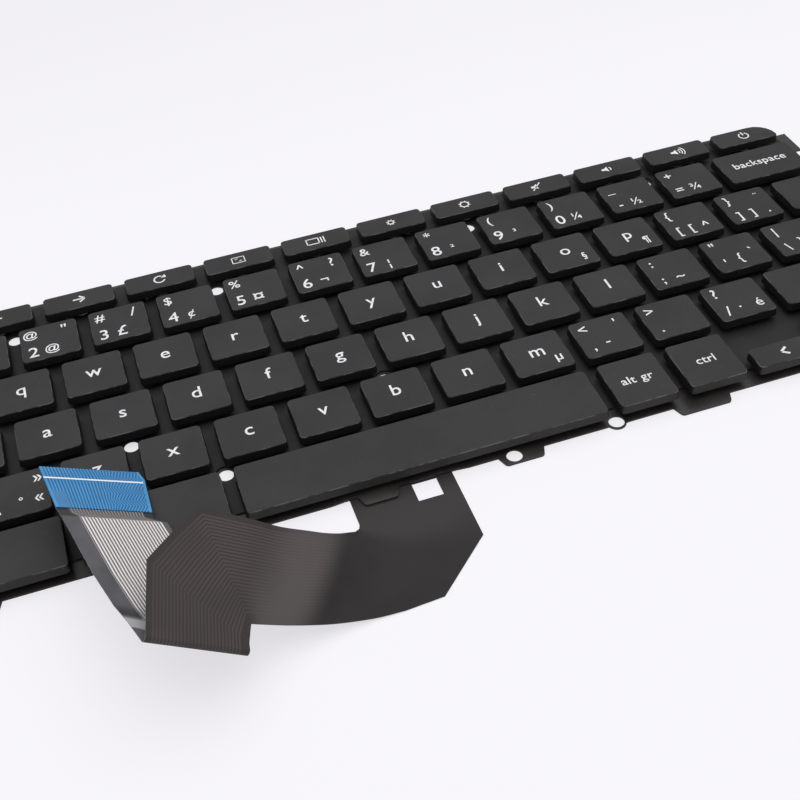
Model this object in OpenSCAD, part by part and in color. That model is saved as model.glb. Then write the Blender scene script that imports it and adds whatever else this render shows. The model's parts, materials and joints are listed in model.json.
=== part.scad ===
// Laptop replacement keyboard: 75 low keys on a stamped plate, with scissor
// supports, rubber domes, a three-film circuit and a folded flat tail.
// X runs along the rows, Y points to the function row, Z is up.
// The origin is the middle of the plate's underside.

/* [Key layout] */
// Width of one key place along a row
key_pitch = 19; // [18.5:0.1:20]
// Distance between neighbouring letter rows
row_pitch = 18.4; // [18:0.1:20]
// Width of the whole key field, in key places
row_units = 14.5; // [14.4:0.05:14.8]
// Distance from the number row to the function row
function_step = 14.95; // [14.5:0.05:17]
// Gap between two caps side by side, at their tops
side_gap = 3.5; // [2.5:0.1:4]
// Depth of a letter cap at its top
cap_d = 14.4; // [14.2:0.1:15]
// Depth of a cap in the bottom row
bottom_cap_d = 16; // [14.4:0.1:16]
// Depth of a cap in the function row
function_cap_d = 7.5; // [7:0.1:8]
// Gap between the up and the down key
arrow_gap = 1.8; // [1:0.1:3]

/* [Keycap] */
// Height of a cap's top above the table
cap_top = 5.0; // [4.9:0.05:5.6]
// Height of a cap's skirt above the table
cap_bottom = 2.6; // [2.5:0.05:2.8]
// How far a key goes down
travel = 1.5; // [0.8:0.1:1.5]
// Thickness of a cap's top wall
cap_roof = 0.9; // [0.6:0.05:0.9]
// Thickness of a cap's side wall
cap_wall = 0.8; // [0.5:0.05:0.8]
// How far a cap's side leans out on the way down
cap_draft = 0.3; // [0:0.05:0.5]
// Bevel round a cap's top face
cap_bevel = 0.22; // [0.1:0.02:0.4]
// Corner radius of a cap
cap_r = 1.1; // [0.6:0.1:1.6]
// Radius of the two caps' corners at the ends of the function row
end_cap_r = 6.5; // [3:0.5:6.5]

/* [Plate] */
// Thickness of the steel plate
plate_t = 0.5; // [0.4:0.05:0.6]
// Plate in front of the bottom row's caps
front_margin = 0.7; // [0.5:0.1:3]
// Plate behind the function row's caps
back_margin = 4.4; // [3:0.1:7]
// Plate beside the key field
side_margin = 2.25; // [1.5:0.25:5]
// Radius of the plate's two back corners
back_corner_r = 9; // [4:0.5:10]
// Radius of the screw holes
hole_r = 2.0; // [1.2:0.1:2.1]
// How far the front tabs stand out
tab_d = 3.1; // [2:0.1:5]

/* [Circuit and domes] */
// Thickness of each of the three films
film_t = 0.15; // [0.1:0.01:0.16]
// Thickness of the stiffener on the tail's end
stiffener_t = 0.25; // [0.15:0.05:0.4]
// Radius of a dome's foot
dome_foot_r = 2.8; // [2.4:0.1:2.9]
// Radius of a dome's crown
dome_top_r = 1.5; // [1.2:0.1:1.8]

/* [Scissor] */
// Thickness of a scissor frame
frame_t = 0.7; // [0.5:0.05:0.7]
// Width of a scissor frame's legs
frame_leg = 0.9; // [0.6:0.05:1]
// Half the outer frame's width under a letter cap
scissor_half = 6.0; // [5.6:0.1:6.2]
// Half the outer frame's width under a half-height cap
small_scissor_half = 2.45; // [2.3:0.05:2.5]
// Distance between the outer frame's two axles
outer_reach = 9.6; // [9.2:0.1:9.8]
// Distance between the inner frame's two axles
inner_reach = 7.0; // [6.8:0.1:7.2]
// Diameter of a stabiliser bar
bar_dia = 0.6; // [0.4:0.05:0.6]

/* [Hidden] */
// Running clearances
play = 0.15;
snug = 0.05;
glue_t = 0.03;

// Key rows: each entry is a key's name and its width in key places. The last
// key of a row takes the width that is left.
NUMBER_ROW = [["grave", 1], ["1", 1], ["2", 1], ["3", 1], ["4", 1], ["5", 1], ["6", 1],
    ["7", 1], ["8", 1], ["9", 1], ["0", 1], ["minus", 1], ["equals", 1], ["backspace", 0]];
Q_ROW = [["tab", 1.5], ["q", 1], ["w", 1], ["e", 1], ["r", 1], ["t", 1], ["y", 1], ["u", 1],
    ["i", 1], ["o", 1], ["p", 1], ["left_bracket", 1], ["right_bracket", 1], ["enter", 0]];
A_ROW = [["search", 1.75], ["a", 1], ["s", 1], ["d", 1], ["f", 1], ["g", 1], ["h", 1],
    ["j", 1], ["k", 1], ["l", 1], ["semicolon", 1], ["quote", 1], ["backslash", 1],
    ["enter_foot", 0]];
Z_ROW = [["left_shift", 1.25], ["guillemet", 1], ["z", 1], ["x", 1], ["c", 1], ["v", 1],
    ["b", 1], ["n", 1], ["m", 1], ["comma", 1], ["full_stop", 1], ["slash", 1],
    ["right_shift", 0]];
left_ctrl_units = 2.32;
left_alt_units = 1.99;
space_units = 4.95;
side_units = 0.99;
arrow_units = (row_units - left_ctrl_units - left_alt_units - space_units - 2 * side_units) / 3;
BOTTOM_ROW = [["left_ctrl", left_ctrl_units], ["left_alt", left_alt_units],
    ["space_bar", space_units], ["alt_gr", side_units], ["right_ctrl", side_units],
    ["left_arrow", arrow_units], ["down_arrow", arrow_units], ["right_arrow", 0]];
FUNCTION_NAMES = ["escape", "back", "forward", "refresh", "full_screen", "overview",
    "dimmer", "brighter", "mute", "quieter", "louder", "power"];

// Keys in the group of caps round the border, which have no joint of their own
BORDER = ["grave", "1", "2", "tab", "enter", "enter_foot", "search", "backslash",
    "left_shift", "guillemet", "right_shift", "left_ctrl", "left_alt",
    "left_arrow", "down_arrow", "right_arrow"];

// Plate size and places
field_w = key_pitch * row_units;
plate_w = field_w + 2 * side_margin;
plate_d = front_margin + bottom_cap_d / 2 + 4 * row_pitch + function_step
    + function_cap_d / 2 + back_margin;
front_y = -plate_d / 2;
back_y = plate_d / 2;
bottom_row_y = front_y + front_margin + bottom_cap_d / 2;
function row_y(row) = bottom_row_y + row * row_pitch;
function_y = row_y(4) + function_step;
function unit_x(u) = u * key_pitch - field_w / 2;

// A key is [name, middle x, middle y, cap width, cap depth]
function before(row, i) = i == 0 ? 0 : before(row, i - 1) + row[i - 1][1];
function units(row, i) = row[i][1] > 0 ? row[i][1] : row_units - before(row, i);
function row_keys(row, n, depth) = [for (i = [0:len(row) - 1])
    [row[i][0], unit_x(before(row, i) + units(row, i) / 2), row_y(n),
        units(row, i) * key_pitch - side_gap, depth]];
arrow_cap_d = (bottom_cap_d - arrow_gap) / 2;
arrow_low_y = bottom_row_y - (bottom_cap_d - arrow_cap_d) / 2;
arrow_high_y = bottom_row_y + (bottom_cap_d - arrow_cap_d) / 2;
function listed(name, names) = len([for (n = names) if (n == name) n]) > 0;
function is_arrow(name) = listed(name, ["left_arrow", "down_arrow", "right_arrow"]);
bottom_keys = [for (k = row_keys(BOTTOM_ROW, 0, bottom_cap_d))
    is_arrow(k[0]) ? [k[0], k[1], arrow_low_y, k[3], arrow_cap_d] : k];
up_arrow = [for (k = bottom_keys) if (k[0] == "down_arrow")
    ["up_arrow", k[1], arrow_high_y, k[3], arrow_cap_d]];
function_pitch = field_w / len(FUNCTION_NAMES);
function_keys = [for (i = [0:len(FUNCTION_NAMES) - 1])
    [FUNCTION_NAMES[i], (i + 0.5) * function_pitch - field_w / 2, function_y,
        function_pitch - side_gap, function_cap_d]];
letter_keys = concat(row_keys(NUMBER_ROW, 4, cap_d), row_keys(Q_ROW, 3, cap_d),
    row_keys(A_ROW, 2, cap_d), row_keys(Z_ROW, 1, cap_d));
ALL_KEYS = concat(letter_keys, bottom_keys, up_arrow, function_keys);
function in_border(name) = listed(name, concat(BORDER, ["up_arrow"], FUNCTION_NAMES));
JOINTED = [for (k = ALL_KEYS) if (!in_border(k[0])) k];
// Keys that stand on a scissor: every cap apart from the enter key's foot
SUPPORTED = [for (k = ALL_KEYS) if (k[0] != "enter_foot") k];
function small(k) = k[4] < 10;
function key_named(name) = [for (k = ALL_KEYS) if (k[0] == name) k][0];

// Heights
lower_film_z = plate_t;
spacer_z = lower_film_z + film_t;
upper_film_z = spacer_z + film_t;
film_top = upper_film_z + film_t;
roof_z = cap_top - cap_roof;
low_axle_z = film_top + 0.55;
high_axle_z = roof_z - 0.6;
scissor_z = (low_axle_z + high_axle_z) / 2;
scissor_rise = high_axle_z - low_axle_z;
outer_angle = asin(scissor_rise / outer_reach);
inner_angle = asin(scissor_rise / inner_reach);
outer_half = outer_reach / 2 * cos(outer_angle);
inner_half = inner_reach / 2 * cos(inner_angle);
lip_z = low_axle_z + 0.55;
lip_t = 0.25;
fin_z = lip_z + travel;
boss_z = fin_z - 0.1;
dome_h = boss_z - snug - film_top;

// Scissor stations of a key, along X. A space bar stands on two scissors.
space_scissor = 34;
function scissor_xs(k) = k[0] == "space_bar" ? [k[1] - space_scissor, k[1] + space_scissor] : [k[1]];
// The alt gr key's scissor is a pair of nodes of its own
LINKED = "alt_gr";
STATIONS = [for (k = SUPPORTED) for (x = scissor_xs(k)) [x, k[2], small(k), k[0] == LINKED]];
// A small frame lies along the row, and its high end faces the row's middle, clear of
// the round corner of the row's first cap
function frame_turn(is_small, x) = is_small ? (x < 0 ? -90 : 90) : 0;
BAR_KEYS = [for (k = ALL_KEYS) if (!small(k) && k[3] > 28) k];

// Screw holes: [x, y]
number_hole_y = row_y(4) + cap_d / 2 + 2.1;
NUMBER_HOLES = [for (u = [2, 5, 9, 12]) [unit_x(u), number_hole_y]];
home_hole_y = row_y(2) - cap_d / 2 - 0.5;
FIELD_HOLES = [[unit_x(3.25), home_hole_y], [unit_x(6.75), home_hole_y],
    [unit_x(left_ctrl_units + left_alt_units), row_y(1) - cap_d / 2 - 0.7]];
lug_x = unit_x(left_ctrl_units + left_alt_units + space_units) + 0.4;
lug_hole = [lug_x, front_y + 0.9];
lug_rim = 0.45;
lug_flare = 1.6;
tab_hole = [11.1, front_y - 0.6];
HOLES = concat(NUMBER_HOLES, FIELD_HOLES, [lug_hole, tab_hole]);

// Tabs on the plate's front edge: [middle x, width at the root]
tail_tab = [-23.1, 10.2];
TABS = [[-117.5, 12], tail_tab, [13.1, 11.9], [61.2, 15.4]];
tab_slant = 1.1;
tab_corner_r = 1.0;
ear_y = [36.6, 46.6];
ear_w = 2.3;

// Tail: the width of its root, and the bridge that the plate makes over it
tail_left = -30.2;
tail_right = -4.65;
slot_back = bottom_row_y - dome_foot_r - 0.6;
slot_front = slot_back - 2.2;
bridge_lift = 0.35;
bridge_slope = 3;
bridge_side = 1.2;
tail_z = 0.15;

key_black = [0.2, 0.2, 0.2];
plate_black = [0.1, 0.1, 0.11];

// A corner of a key's outline is [x, y, inward x, inward y, radius]
function box_outline(w, d, r_back_left, r_back_right) = [
    [-w / 2, -d / 2, 1, 1, cap_r], [w / 2, -d / 2, -1, 1, cap_r],
    [w / 2, d / 2, -1, -1, r_back_right], [-w / 2, d / 2, 1, -1, r_back_left]];
function start_angle(c) = c[2] > 0 ? (c[3] > 0 ? 180 : 90) : (c[3] > 0 ? 270 : 0);
corner_steps = 3;
function corner_points(c, inset) = c[4] == 0
    ? [[c[0] + c[2] * inset, c[1] + c[3] * inset]]
    : let (r = max(c[4] - inset, 0.15))
        [for (i = [0:corner_steps - 1])
            let (a = start_angle(c) + 90 * i / (corner_steps - 1))
            [c[0] + c[2] * (inset + r) + r * cos(a), c[1] + c[3] * (inset + r) + r * sin(a)]];
function ring(outline, inset, z) = [for (c = outline) for (p = corner_points(c, inset))
    [p[0], p[1], z]];

// A closed skin over rings of equally many points, with both ends shut
module skin(rings) {
    n = len(rings[0]);
    last = len(rings) - 1;
    sides = [for (j = [0:last - 1]) for (i = [0:n - 1])
        let (a = j * n + i, b = j * n + (i + 1) % n) for (t = [[a, a + n, b + n], [a, b + n, b]]) t];
    polyhedron([for (r = rings) for (p = r) p],
        concat(sides, [[for (i = [0:n - 1]) i]], [[for (i = [n - 1:-1:0]) last * n + i]]));
}

// A hollow cap over an outline: roof, leaning skirt and bevelled top edge
module cap_shell(outline) {
    skin([ring(outline, cap_wall, roof_z), ring(outline, cap_wall - cap_draft, cap_bottom),
        ring(outline, -cap_draft, cap_bottom), ring(outline, 0, cap_top - cap_bevel),
        ring(outline, cap_bevel, cap_top)]);
}

// The fins under a cap that hold the two high axles, and the boss over the dome
fin_t = 0.35;
fin_slack = 0.75;
module cap_seats(is_small) {
    fin_w = is_small ? 0.5 : 2.0;
    for (y = [-inner_half, outer_half])
        for (s = [-1, 1])
            translate([-fin_w / 2, y + s * (fin_slack + fin_t / 2) - fin_t / 2, fin_z])
                cube([fin_w, fin_t, roof_z + snug - fin_z]);
}

module dome_boss(is_small) {
    translate([0, 0, boss_z])
        cylinder(r = is_small ? 1.0 : dome_top_r - 0.1, h = roof_z + snug - boss_z, $fn = 24);
}

module keycap(k) {
    back_right = k[0] == "power" ? end_cap_r : cap_r;
    back_left = k[0] == "escape" ? end_cap_r : cap_r;
    color(key_black) union() {
        translate([k[1], k[2], 0]) cap_shell(box_outline(k[3], k[4], back_left, back_right));
        for (x = scissor_xs(k))
            translate([x, k[2], 0]) rotate([0, 0, frame_turn(small(k), x)]) cap_seats(small(k));
        translate([k[1], k[2], 0]) dome_boss(small(k));
    }
}

// The enter key spans two rows and is narrower at its foot
module enter_keycap() {
    top = key_named("enter");
    foot = key_named("enter_foot");
    right = top[1] + top[3] / 2;
    left = top[1] - top[3] / 2;
    foot_left = foot[1] - foot[3] / 2;
    low = foot[2] - foot[4] / 2;
    high = top[2] + top[4] / 2;
    waist = top[2] - top[4] / 2;
    outline = [[foot_left, low, 1, 1, cap_r], [right, low, -1, 1, cap_r],
        [right, high, -1, -1, cap_r], [left, high, 1, -1, cap_r],
        [left, waist, 1, 1, cap_r], [foot_left, waist, 1, 1, 0]];
    color(key_black) union() {
        cap_shell(outline);
        translate([top[1], top[2], 0]) {
            cap_seats(false);
            dome_boss(false);
        }
    }
}

module border_keycaps() {
    for (k = ALL_KEYS)
        if (in_border(k[0]) && k[0] != "enter" && k[0] != "enter_foot") keycap(k);
    enter_keycap();
}

// Where a scissor's plate hooks stand: [middle across, width]
function hook_across(is_small) = is_small ? [0.7, 0.8] : [3.0, 1.4];
post_t = 0.4;
front_post = -outer_half - 0.9 - post_t;
back_post = inner_half - 1.05;

// One bent-up hook of the plate, as a profile in Y and Z
module hook(w, post_y, lip_end) {
    translate([-w / 2, 0, 0]) rotate([90, 0, 90])
        linear_extrude(w)
            polygon([[post_y, plate_t - snug], [post_y + post_t, plate_t - snug],
                [post_y + post_t, lip_z], [lip_end, lip_z], [lip_end, lip_z + lip_t],
                [post_y, lip_z + lip_t]]);
}

module station_hooks(is_small) {
    at = hook_across(is_small);
    for (s = [-1, 1]) translate([s * at[0], 0, 0]) {
        hook(at[1], front_post, -outer_half - 0.05);
        hook(at[1], back_post, inner_half);
    }
}

// The slots that the hooks were bent out of
module station_slots(is_small) {
    at = hook_across(is_small);
    slot_d = 1.9;
    for (s = [-1, 1]) translate([s * at[0], 0]) {
        translate([-at[1] / 2 - play, front_post + post_t]) square([at[1] + 2 * play, slot_d]);
        translate([-at[1] / 2 - play, back_post - slot_d]) square([at[1] + 2 * play, slot_d]);
    }
}

// Openings in the films for the hooks
module station_windows(is_small) {
    at = hook_across(is_small);
    w = 2 * at[0] + at[1] + 4 * play;
    for (y = [front_post, back_post])
        translate([-w / 2, y - 2 * play]) square([w, post_t + 4 * play]);
}

module at_stations() {
    for (s = STATIONS)
        translate([s[0], s[1], 0]) rotate([0, 0, frame_turn(s[2], s[0])]) {
            $small = s[2];
            children();
        }
}

// A stabiliser bar runs under the front of its cap's roof, midway between the fins and
// the front wall, and its two feet turn in hooks of the plate behind the cap's middle
function bar_half(k) = k[3] / 2 - 2.6;
bar_line = -(inner_half + fin_slack + fin_t + cap_d / 2 - cap_wall) / 2;
bar_foot = 1.0;
bar_foot_z = film_top + bar_dia / 2 + play;
bar_high_z = roof_z - bar_dia / 2 - snug;
bar_foot_l = 1.6;

module at_bar_feet(k) {
    for (s = [-1, 1])
        translate([k[1] + s * (bar_half(k) - bar_foot_l), k[2] + bar_foot, 0]) children();
}

// A bar's hook on the plate: a post and a lip over the foot
module bar_hooks(k) {
    at_bar_feet(k) translate([-0.4, 0, 0]) rotate([90, 0, 90]) linear_extrude(0.8)
        polygon([[0.55, plate_t - snug], [0.95, plate_t - snug], [0.95, bar_foot_z + 0.7],
            [-0.4, bar_foot_z + 0.7], [-0.4, bar_foot_z + 0.45], [0.55, bar_foot_z + 0.45]]);
}

module bar_windows(k) {
    at_bar_feet(k) translate([-0.7, 0.25]) square([1.4, 1.0]);
}

// A ring of the bar round a point of its path, square to the mean of the two runs there
function bar_ring(path, i) =
    let (a = path[max(i - 1, 0)], b = path[min(i + 1, len(path) - 1)], p = path[i],
        into = i > 0 ? unit(p - a) : unit(b - p), out = i < len(path) - 1 ? unit(b - p) : into,
        along = unit(into + out), side = unit(cross(along, bar_side)), up = cross(side, along),
        stretch = 1 / max(into * along, 0.5))
    [for (k = [0:bar_faces - 1]) let (t = 360 * (k + 0.5) / bar_faces)
        p + bar_dia / 2 * (cos(t) * stretch * side - sin(t) * up)];
bar_faces = 8;
bar_side = unit([0, bar_foot_z - bar_high_z, bar_foot - bar_line]);
function bar_path(h) = [[-h + 2 * bar_foot_l, bar_foot, bar_foot_z], [-h, bar_foot, bar_foot_z],
    [-h, bar_line, bar_high_z], [h, bar_line, bar_high_z], [h, bar_foot, bar_foot_z],
    [h - 2 * bar_foot_l, bar_foot, bar_foot_z]];

module stabiliser_bars() {
    color("silver")
        for (k = BAR_KEYS) {
            path = bar_path(bar_half(k));
            translate([k[1], k[2], 0]) skin([for (i = [0:len(path) - 1]) bar_ring(path, i)]);
        }
}

// Rounded rectangle with its own radius at each pair of corners
module rounded_plate(w, d, r_front, r_back) {
    union() {
        translate([-w / 2, -d / 2 + r_front]) square([w, d - r_front - r_back]);
        translate([-w / 2 + r_front, -d / 2]) square([w - 2 * r_front, r_front]);
        translate([-w / 2 + r_back, d / 2 - r_back]) square([w - 2 * r_back, r_back]);
        for (s = [-1, 1]) {
            translate([s * (w / 2 - r_front), -d / 2 + r_front]) circle(r_front, $fn = 48);
            translate([s * (w / 2 - r_back), d / 2 - r_back]) circle(r_back, $fn = 48);
        }
    }
}

// A tab: slanted ends and round corners
function tab_outline(t) =
    let (lean = atan(tab_slant / tab_d), r = tab_corner_r,
        inset = (r + sin(lean) * (tab_d - r)) / cos(lean),
        low = front_y - tab_d + r, left = t[0] - t[1] / 2, right = t[0] + t[1] / 2)
    concat([[left, front_y + 1], [left, front_y]],
        [for (i = [0:5]) [left + inset, low] + r * unit_at(180 + lean + i * (90 - lean) / 5)],
        [for (i = [0:5]) [right - inset, low] + r * unit_at(270 + i * (90 - lean) / 5)],
        [[right, front_y], [right, front_y + 1]]);
function unit_at(a) = [cos(a), sin(a)];

lug_r = hole_r + lug_rim;

module plate_outline() {
    rounded_plate(plate_w, plate_d, 1.5, back_corner_r);
    for (t = TABS) polygon(tab_outline(t));
    translate(lug_hole) circle(lug_r, $fn = 48);
    polygon([[lug_x, front_y + 1], lug_hole + lug_r * [0, -0.6], lug_hole + lug_r * [0.9, -0.4],
        [lug_x + lug_r + lug_flare, front_y], [lug_x + lug_r + lug_flare, front_y + 1]]);
    translate([plate_w / 2 - 2, ear_y[0]]) square([2 + ear_w, ear_y[1] - ear_y[0]]);
}

bridge_left = tail_left - bridge_side;
bridge_right = tail_right + bridge_side;

// The strip of plate over the tail's root, raised by the height of the tail
module tail_bridge() {
    translate([0, slot_front, 0]) rotate([90, 0, 0]) linear_extrude(slot_front - front_y)
        polygon([[bridge_left - bridge_slope, 0], [bridge_left, bridge_lift],
            [bridge_right, bridge_lift], [bridge_right + bridge_slope, 0],
            [bridge_right + bridge_slope, plate_t], [bridge_right, plate_t + bridge_lift],
            [bridge_left, plate_t + bridge_lift], [bridge_left - bridge_slope, plate_t]]);
    translate([0, 0, bridge_lift]) linear_extrude(plate_t) polygon(tab_outline(tail_tab));
}

module base_plate() {
    color(plate_black) union() {
        linear_extrude(plate_t) difference() {
            plate_outline();
            for (h = HOLES) translate(h) circle(hole_r, $fn = 48);
            at_stations() station_slots($small);
            translate([bridge_left - bridge_slope, front_y - tab_d - 1])
                square([bridge_right - bridge_left + 2 * bridge_slope,
                    slot_front - front_y + tab_d + 1]);
            translate([bridge_left, slot_front - snug])
                square([bridge_right - bridge_left, slot_back - slot_front + snug]);
        }
        tail_bridge();
        at_stations() station_hooks($small);
        for (k = BAR_KEYS) bar_hooks(k);
    }
}

// One circuit film: the plate's inner outline, cut out round hooks and screws
module film(z) {
    edge = 1.6;
    translate([0, 0, z]) linear_extrude(film_t) difference() {
        translate([0, (slot_back - front_y - edge) / 2, 0])
            rounded_plate(plate_w - 2 * edge, plate_d - edge - (slot_back - front_y), 1, back_corner_r - edge);
        for (h = HOLES) translate(h) circle(hole_r + 0.6, $fn = 32);
        at_stations() station_windows($small);
        for (k = BAR_KEYS) bar_windows(k);
    }
}

// A dome: foot, leaning wall and flat crown
module dome(is_small) {
    foot = is_small ? 2.3 : dome_foot_r;
    waist = is_small ? 1.1 : dome_foot_r - 0.3;
    crown = is_small ? 0.9 : dome_top_r;
    foot_t = 0.25;
    wall = 0.4;
    translate([0, 0, film_top]) rotate_extrude($fn = 32)
        polygon([[waist - 0.1, 0], [foot, 0], [foot, foot_t], [waist, foot_t],
            [crown, dome_h - 0.2], [crown - 0.1, dome_h], [0, dome_h], [0, dome_h - wall],
            [crown - wall, dome_h - wall - 0.2], [waist - wall, foot_t]]);
}

module rubber_domes() {
    color([0.85, 0.87, 0.86]) for (k = SUPPORTED) translate([k[1], k[2], 0]) dome(small(k));
}

// A flat scissor frame in its own plane, with its axles at the two short sides
module frame_ring(half, leg, reach) {
    translate([0, 0, -frame_t / 2]) linear_extrude(frame_t) difference() {
        translate([-half, -(reach + frame_t) / 2]) square([2 * half, reach + frame_t]);
        translate([-half + leg, -(reach - frame_t) / 2])
            square([2 * (half - leg), reach - frame_t]);
    }
}

pin_r = 0.17;
function frame_half(is_small) = is_small ? small_scissor_half : scissor_half;
function leg_w(is_small) = is_small ? 0.55 : frame_leg;

module outer_frame(is_small) {
    half = frame_half(is_small);
    translate([0, 0, scissor_z]) rotate([outer_angle, 0, 0]) difference() {
        frame_ring(half, leg_w(is_small), outer_reach);
        translate([-half - 1, 0, 0]) rotate([0, 90, 0])
            cylinder(r = pin_r + 0.08, h = 2 * half + 2, $fn = 20);
    }
}

module inner_frame(is_small) {
    leg = leg_w(is_small);
    half = frame_half(is_small) - leg - play;
    translate([0, 0, scissor_z]) rotate([-inner_angle, 0, 0]) union() {
        frame_ring(half, leg, inner_reach);
        for (s = [-1, 1])
            translate([s * (half - snug), 0, 0]) rotate([0, s * 90, 0])
                cylinder(r = pin_r, h = play + leg - 0.1, $fn = 20);
    }
}

module at_frames(linked) {
    for (s = STATIONS)
        if (s[3] == linked)
            translate([s[0], s[1], 0]) rotate([0, 0, frame_turn(s[2], s[0])]) {
                $small = s[2];
                children();
            }
}

frame_grey = [0.78, 0.78, 0.76];
module scissor_outer_frames() { color(frame_grey) at_frames(false) outer_frame($small); }
module scissor_inner_frames() { color(frame_grey) at_frames(false) inner_frame($small); }

// The linked frames turn in their seats on round axles, a little proud of the bars
axle_d = frame_t + 0.1;
module axles(half, reach, angle) {
    translate([0, 0, scissor_z]) rotate([angle, 0, 0]) for (s = [-1, 1])
        translate([-half + 0.1, s * reach / 2, 0]) rotate([0, 90, 0])
            cylinder(d = axle_d, h = 2 * half - 0.2, $fn = 24);
}
module alt_gr_outer_frame() {
    color(frame_grey) at_frames(true) union() {
        outer_frame($small);
        axles(frame_half($small), outer_reach, outer_angle);
    }
}
module alt_gr_inner_frame() {
    color(frame_grey) at_frames(true) union() {
        inner_frame($small);
        axles(frame_half($small) - leg_w($small) - play, inner_reach, -inner_angle);
    }
}

// The tail is a ribbon. Each station is [point on its left edge, point on its right edge],
// seen along the ribbon from its root. It leaves the slot under the bridge, lies on the
// table, turns left, lifts off in a slow bend, and is folded under itself at a crease.
arm_back = front_y - 9.5;
arm_front = front_y - 35.1;
crease_left = [-81.1, front_y - 42.3, 25.0];
crease_right = [-62.5, front_y - 42.3, 11.3];
tail_t = film_t;
ROOT = [
    [[tail_left, slot_back, lower_film_z + film_t / 2], [tail_right, slot_back, lower_film_z + film_t / 2]],
    [[tail_left, slot_back - 0.25, lower_film_z + film_t / 2],
        [tail_right, slot_back - 0.25, lower_film_z + film_t / 2]],
    [[tail_left, slot_front + 0.25, tail_z], [tail_right, slot_front + 0.25, tail_z]],
    [[tail_left, front_y - 4.5, tail_z], [tail_right, front_y - 7.6, tail_z]],
    [[tail_left, arm_back + 1.6, tail_z], [tail_right, front_y - 21, tail_z]],
    [[tail_left - 0.4, arm_back + 0.5, tail_z], [-18.7, arm_front + 0.6, tail_z]],
    [[tail_left - 1.5, arm_back, tail_z], [-27.9, arm_front, tail_z]]];
ARM = [
    [[-33.0, arm_back, 0.5], [-33.4, arm_front, 0.5]],
    [[-35.6, arm_back, 1.2], [-37.2, arm_front, 1.2]],
    [[-38.9, arm_back, 2.8], [-41.9, arm_front, 2.4]],
    [[-42.2, arm_back, 4.9], [-46.4, arm_front, 3.95]],
    [[-48.4, arm_back, 8.9], [-53.0, arm_front, 6.9]],
    [[-54.4, arm_back, 14.0], [-58.6, arm_front, 9.9]],
    [[-64.6, arm_back, 22.0], [-60.7, arm_front, 11.1]]];
CORNER = [
    [[-71.3, front_y - 17.2, 25.0], [-61.4, front_y - 37.2, 11.1]],
    [[-77.4, front_y - 24.9, 27.6], [-62.2, front_y - 40.0, 11.4]]];
// The tail's end is held flat by its stiffener: its two edges there lie in one plane
function end_z(p) = 15.6 - 0.4857 * (p[0] + 96.85) - 0.14 * (p[1] - front_y - 22.7);
function on_end_plane(a, b) = [[a[0], a[1], end_z(a)], [b[0], b[1], end_z(b)]];
TONGUE = [
    [[-83.9, front_y - 35.2, 23.0], [-64.0, front_y - 35.2, 10.0]],
    [[-85.9, front_y - 29.6, 22.2], [-65.2, front_y - 29.3, 9.6]],
    [[-89.0, front_y - 17.8, 20.5], [-67.6, front_y - 18.3, 8.8]],
    [[-93.6, front_y + 4.1, 17.0], [-72.1, front_y + 2.7, 7.2]],
    [[-94.0, front_y + 5.6, 16.85], [-74.8, front_y + 5.2, 7.3]],
    on_end_plane([-94.5, front_y + 7.4], [-74.9, front_y + 7.0]),
    on_end_plane([-96.4, front_y + 19.7], [-74.9, front_y + 19.7]),
    on_end_plane([-96.85, front_y + 22.7], [-75.85, front_y + 22.7])];

// The fold under: both edges turn round the crease on a small radius
fold_r = 0.9;
fold_steps = 6;
fold_angle = 154;
function unit(v) = v / norm(v);
function mid(s) = (s[0] + s[1]) / 2;
crease_dir = unit(crease_left - crease_right);
fold_out = unit([-0.137, -0.973, -0.186]);
fold_under = unit(cross(fold_out, crease_dir));
function fold_point(p, a) = p - fold_r * fold_out
    + fold_r * ((1 - cos(a)) * fold_under + sin(a) * fold_out);
FOLD = [for (i = [0:fold_steps]) let (a = fold_angle * i / fold_steps)
    [fold_point(crease_left, a), fold_point(crease_right, a)]];
TAIL = concat(ROOT, ARM, CORNER, FOLD, TONGUE);

function station_normal(s, i) =
    let (a = s[max(i - 1, 0)], b = s[min(i + 1, len(s) - 1)])
    unit(cross(mid(b) - mid(a), s[i][1] - s[i][0]));
function ribbon(s, first, last, low, high) = [for (i = [first:last])
    let (n = station_normal(s, i))
    [s[i][0] + low * n, s[i][1] + low * n, s[i][1] + high * n, s[i][0] + high * n]];

window_x = [-15.0, -8.8];
window_y = [front_y - 5.9, front_y - 0.3];
module membrane_tail() {
    color([0.16, 0.15, 0.15]) difference() {
        skin(ribbon(TAIL, 0, len(TAIL) - 1, -tail_t / 2, tail_t / 2));
        translate([window_x[0], window_y[0], tail_z - 1])
            cube([window_x[1] - window_x[0], window_y[1] - window_y[0], 2]);
    }
}

stiffener_first = len(TAIL) - 3;
module tail_stiffener() {
    color([0.16, 0.5, 0.76])
        skin(ribbon(TAIL, stiffener_first, len(TAIL) - 1,
            -tail_t / 2 - glue_t - stiffener_t, -tail_t / 2 - glue_t));
}

base_plate();
color([0.3, 0.3, 0.3]) film(lower_film_z);  // lower_circuit_film
color([0.7, 0.72, 0.72]) film(spacer_z);  // spacer_film
color([0.12, 0.12, 0.12]) film(upper_film_z);  // upper_circuit_film
membrane_tail();
tail_stiffener();
rubber_domes();
scissor_outer_frames();
scissor_inner_frames();
stabiliser_bars();
border_keycaps();
alt_gr_outer_frame();
alt_gr_inner_frame();
for (k = JOINTED) keycap(k);
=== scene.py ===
import json
import math

import bpy
from mathutils import Matrix, Vector

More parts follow.
